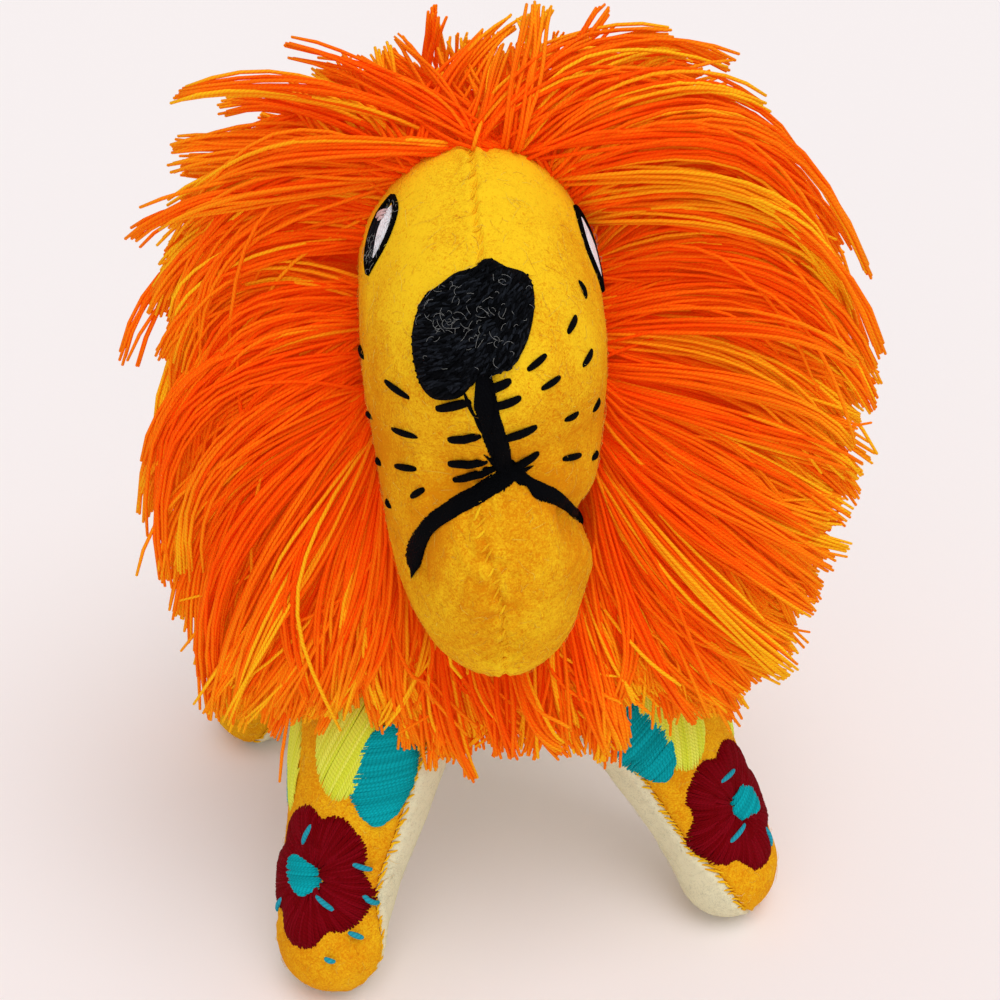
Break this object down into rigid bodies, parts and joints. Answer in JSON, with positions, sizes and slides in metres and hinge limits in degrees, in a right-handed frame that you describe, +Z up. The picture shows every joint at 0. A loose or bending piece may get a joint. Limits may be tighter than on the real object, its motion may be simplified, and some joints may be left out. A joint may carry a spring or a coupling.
{
  "type": "plush lion",
  "caption": "Hand-sewn felt toy lion with a tall stuffed muzzle, a full yarn mane and embroidered leaves and flowers on its splayed front legs; the tail wags and lifts at its root",
  "frame": {"origin": "on the floor, under the middle of the box that holds the whole lion", "axes": "+Z up; -Y is the way that the body faces, though the head looks 11 degrees towards the lion's right; +X is the lion's left"},
  "size_m": [0.1808, 0.2266, 0.2546],
  "materials": {
    "gold_felt": "golden yellow wool felt, softly fuzzed, with an orange cast in its folds",
    "cream_felt": "undyed cream wool felt",
    "wool_filling": "loose wool stuffing",
    "mane_yarn": "red-orange plied yarn with yellow-orange strands, cut ends",
    "black_thread": "black embroidery yarn in satin stitch",
    "white_thread": "white embroidery yarn in satin stitch",
    "crimson_thread": "deep crimson embroidery yarn in satin stitch",
    "teal_thread": "turquoise embroidery yarn in satin stitch",
    "lime_thread": "lime embroidery yarn in satin stitch",
    "gold_thread": "golden yellow sewing yarn"
  },
  "bodies": {
    "lion": {"head_felt_left": "gold_felt", "head_felt_right": "gold_felt", "head_filling": "wool_filling", "nose": "black_thread", "philtrum": "black_thread", "mouth": "black_thread", "eye_rim_left": "black_thread", "eye_rim_right": "black_thread", "eye_pupil_left": "black_thread", "eye_pupil_right": "black_thread", "eye_white_left": "white_thread", "eye_white_right": "white_thread", "mane_section_01": "mane_yarn", "mane_section_02": "mane_yarn", "mane_section_03": "mane_yarn", "mane_section_04": "mane_yarn", "mane_section_05": "mane_yarn", "mane_section_06": "mane_yarn", "mane_section_07": "mane_yarn", "mane_section_08": "mane_yarn", "mane_section_09": "mane_yarn", "mane_section_10": "mane_yarn", "body_felt_left": "gold_felt", "body_felt_right": "gold_felt", "belly_felt": "cream_felt", "body_filling": "wool_filling", "front_left_leg_outer_felt": "gold_felt", "front_left_leg_inner_felt": "cream_felt", "front_left_leg_filling": "wool_filling", "front_right_leg_outer_felt": "gold_felt", "front_right_leg_inner_felt": "cream_felt", "front_right_leg_filling": "wool_filling", "rear_left_leg_outer_felt": "gold_felt", "rear_left_leg_inner_felt": "cream_felt", "rear_left_leg_filling": "wool_filling", "rear_right_leg_outer_felt": "gold_felt", "rear_right_leg_inner_felt": "cream_felt", "rear_right_leg_filling": "wool_filling", "front_left_flower": "crimson_thread", "front_left_flower_heart": "teal_thread", "front_left_teal_leaf": "teal_thread", "front_left_lime_leaf": "lime_thread", "front_left_outer_lime_leaf": "lime_thread", "front_left_outer_teal_leaf": "teal_thread", "front_right_flower": "crimson_thread", "front_right_flower_heart": "teal_thread", "front_right_teal_leaf": "teal_thread", "front_right_lime_leaf": "lime_thread", "front_right_outer_lime_leaf": "lime_thread", "front_right_outer_teal_leaf": "teal_thread", "tail_root": "gold_felt"},
    "tail_collar": {"tail_stitching": "gold_thread"},
    "tail": {"tail_felt": "gold_felt", "tail_filling": "wool_filling", "tail_tuft": "mane_yarn"}
  },
  "joints": [
    {"name": "tail_wag", "type": "hinge", "parent": "lion", "child": "tail_collar", "pos_m": [0.00235, 0.08816, 0.134], "axis": [0, 1, 0], "range_deg": [-35, 35]},
    {"name": "tail_lift", "type": "hinge", "parent": "tail_collar", "child": "tail", "pos_m": [0.00235, 0.08816, 0.134], "axis": [1, 0, 0], "range_deg": [0, 85]}
  ]
}
